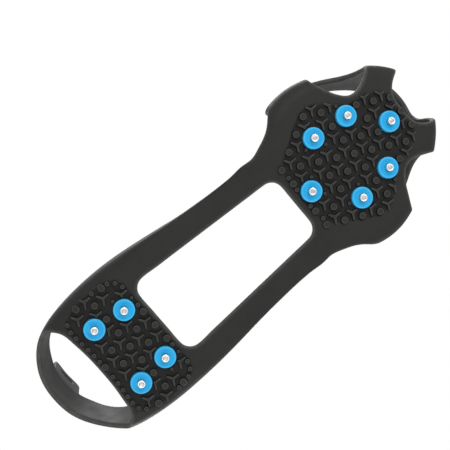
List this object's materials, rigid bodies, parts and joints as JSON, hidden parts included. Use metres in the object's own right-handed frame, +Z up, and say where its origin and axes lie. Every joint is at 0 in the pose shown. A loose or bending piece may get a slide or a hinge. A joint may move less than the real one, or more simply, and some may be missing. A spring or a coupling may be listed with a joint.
{
  "type": "shoe ice cleat",
  "caption": "Slip-on rubber overshoe frame with a studded forefoot pad and heel pad, stretch straps, and steel pins in blue collars.",
  "frame": {"origin": "middle of the overall length and width, on the plane of the stud tips", "axes": "+Y from the heel to the toe, +X to the wearer's right, +Z up into the shoe"},
  "size_m": [0.1116, 0.2951, 0.082],
  "materials": {
    "rubber": "matte",
    "blue_polymer": "satin",
    "steel": "satin",
    "carbide": "matte"
  },
  "bodies": {
    "heel_half": {"heel_pad": "rubber", "heel_wall_left": "rubber", "heel_wall_right": "rubber", "rear_rail_left": "rubber", "rear_rail_right": "rubber", "back_band": "rubber", "stud_7_collar": "blue_polymer", "stud_7_pin": "steel", "stud_7_insert": "carbide", "stud_7_washer": "steel", "stud_8_collar": "blue_polymer", "stud_8_pin": "steel", "stud_8_insert": "carbide", "stud_8_washer": "steel", "stud_9_collar": "blue_polymer", "stud_9_pin": "steel", "stud_9_insert": "carbide", "stud_9_washer": "steel", "stud_10_collar": "blue_polymer", "stud_10_pin": "steel", "stud_10_insert": "carbide", "stud_10_washer": "steel"},
    "forefoot_half": {"forefoot_pad": "rubber", "side_strap_left": "rubber", "side_strap_right": "rubber", "toe_strap_left": "rubber", "toe_strap_right": "rubber", "toe_band": "rubber", "front_rail_left": "rubber", "front_rail_right": "rubber", "stud_1_collar": "blue_polymer", "stud_1_pin": "steel", "stud_1_insert": "carbide", "stud_1_washer": "steel", "stud_2_collar": "blue_polymer", "stud_2_pin": "steel", "stud_2_insert": "carbide", "stud_2_washer": "steel", "stud_3_collar": "blue_polymer", "stud_3_pin": "steel", "stud_3_insert": "carbide", "stud_3_washer": "steel", "stud_4_collar": "blue_polymer", "stud_4_pin": "steel", "stud_4_insert": "carbide", "stud_4_washer": "steel", "stud_5_collar": "blue_polymer", "stud_5_pin": "steel", "stud_5_insert": "carbide", "stud_5_washer": "steel", "stud_6_collar": "blue_polymer", "stud_6_pin": "steel", "stud_6_insert": "carbide", "stud_6_washer": "steel"},
    "tab": {"pull_tab": "rubber"}
  },
  "joints": [
    {"name": "waist_fold", "type": "hinge", "parent": "heel_half", "child": "forefoot_half", "pos_m": [0, -0.0089, 0.0067], "axis": [1, 0, 0], "range_deg": [-150, 110], "stiffness_Nm_per_rad": 0.3},
    {"name": "pull_tab_flex", "type": "hinge", "parent": "heel_half", "child": "tab", "pos_m": [0, -0.14101, 0.06], "axis": [1, 0, 0], "range_deg": [-30, 75], "stiffness_Nm_per_rad": 0.02}
  ]
}
